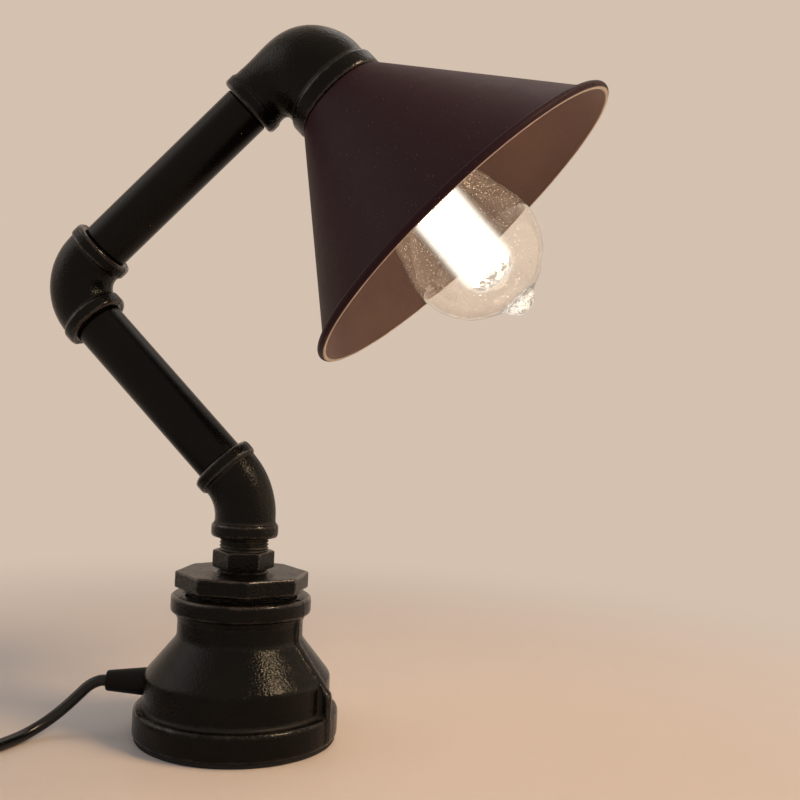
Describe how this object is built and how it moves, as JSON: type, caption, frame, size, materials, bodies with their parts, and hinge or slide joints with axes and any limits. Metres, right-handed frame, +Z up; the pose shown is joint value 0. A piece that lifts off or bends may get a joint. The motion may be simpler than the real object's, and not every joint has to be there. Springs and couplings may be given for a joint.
{
  "type": "pipe table lamp",
  "caption": "Table lamp built from black pipe fittings: reducer base, angled pipe arm with elbows that swivel, conical metal shade, clear filament bulb and flex with rocker switch and plug.",
  "frame": {"origin": "centre of the underside of the foot pad, on the table", "axes": "+Z up; the two pipe arms lie in the XZ plane at rest and the shade looks towards +X and down; +Y completes the right-handed set"},
  "size_m": [0.4667, 0.2108, 0.3812],
  "materials": {
    "black_iron": "satin black paint over rough malleable iron",
    "black_pipe": "satin black",
    "shade_paint": "fine satin black powder coat",
    "pad": "matte",
    "flex": "smooth black",
    "grip": "matte black",
    "steel": "plated",
    "brass": "bright",
    "block_plastic": "cream",
    "black_plastic": "glossy moulded",
    "phenolic": "satin moulded",
    "porcelain": "glazed white",
    "cap_metal": "bright",
    "bulb_glass": "clear",
    "stem_glass": "clear",
    "glow_wire": "glowing carbon thread",
    "nickel_wire": "drawn",
    "fuse_body": "ceramic tube"
  },
  "bodies": {
    "base": {"foot_pad": "pad", "base_reducer": "black_iron", "reducing_bush": "black_iron", "hex_nipple": "black_iron", "cord_grip": "grip", "grip_nut": "steel", "base_flex": "flex", "riser_flex": "flex", "connector_block": "block_plastic", "block_inserts": "brass", "block_screws": "brass", "earth_screw": "steel", "earth_tag": "steel", "cord_lead": "flex", "switch_base": "black_plastic", "switch_cover": "black_plastic", "cord_tail": "flex", "cord_coil": "flex", "cord_plug_lead": "flex", "plug_relief": "grip", "plug_body": "black_plastic", "plug_pins": "brass", "fuse_carrier": "black_plastic", "plug_fuse": "fuse_body"},
    "lower_arm": {"low_elbow": "black_iron", "lower_pipe": "black_pipe", "lower_flex": "flex"},
    "upper_arm": {"mid_elbow": "black_iron", "upper_pipe": "black_pipe", "upper_flex": "flex"},
    "head": {"head_elbow": "black_iron", "head_flex": "flex", "holder_shell": "phenolic", "holder_insert": "porcelain", "thread_sleeve": "brass", "contact_spring": "brass", "shade_ring": "phenolic", "shade": "shade_paint"},
    "bulb": {"bulb_glass": "bulb_glass", "bulb_cap": "cap_metal", "cap_insulator": "black_plastic", "cap_contact": "brass", "glass_stem": "stem_glass", "filament": "glow_wire", "support_wires": "nickel_wire", "lead_in_wires": "nickel_wire"},
    "rocker": {"switch_rocker": "black_plastic"}
  },
  "joints": [
    {"name": "arm_swivel", "type": "hinge", "parent": "base", "child": "lower_arm", "pos_m": [0, 0, 0.1062], "axis": [0, 0, 1], "range_deg": [-90, 90]},
    {"name": "elbow_swivel", "type": "hinge", "parent": "lower_arm", "child": "upper_arm", "pos_m": [-0.10812, 0, 0.23852], "axis": [-0.7071, 0, 0.7071], "range_deg": [-60, 60]},
    {"name": "head_swivel", "type": "hinge", "parent": "upper_arm", "child": "head", "pos_m": [0.01888, 0, 0.36551], "axis": [0.7071, 0, 0.7071], "range_deg": [-90, 90]},
    {"name": "bulb_unscrew", "type": "slide", "parent": "head", "child": "bulb", "axis": [0.7071, 0, -0.7071], "range_m": [0, 0.026]},
    {"name": "switch_rock", "type": "hinge", "parent": "base", "child": "rocker", "pos_m": [-0.16477, -0.09378, 0.017], "axis": [0.1219, -0.9925, 0], "range_deg": [-16, 0]}
  ]
}
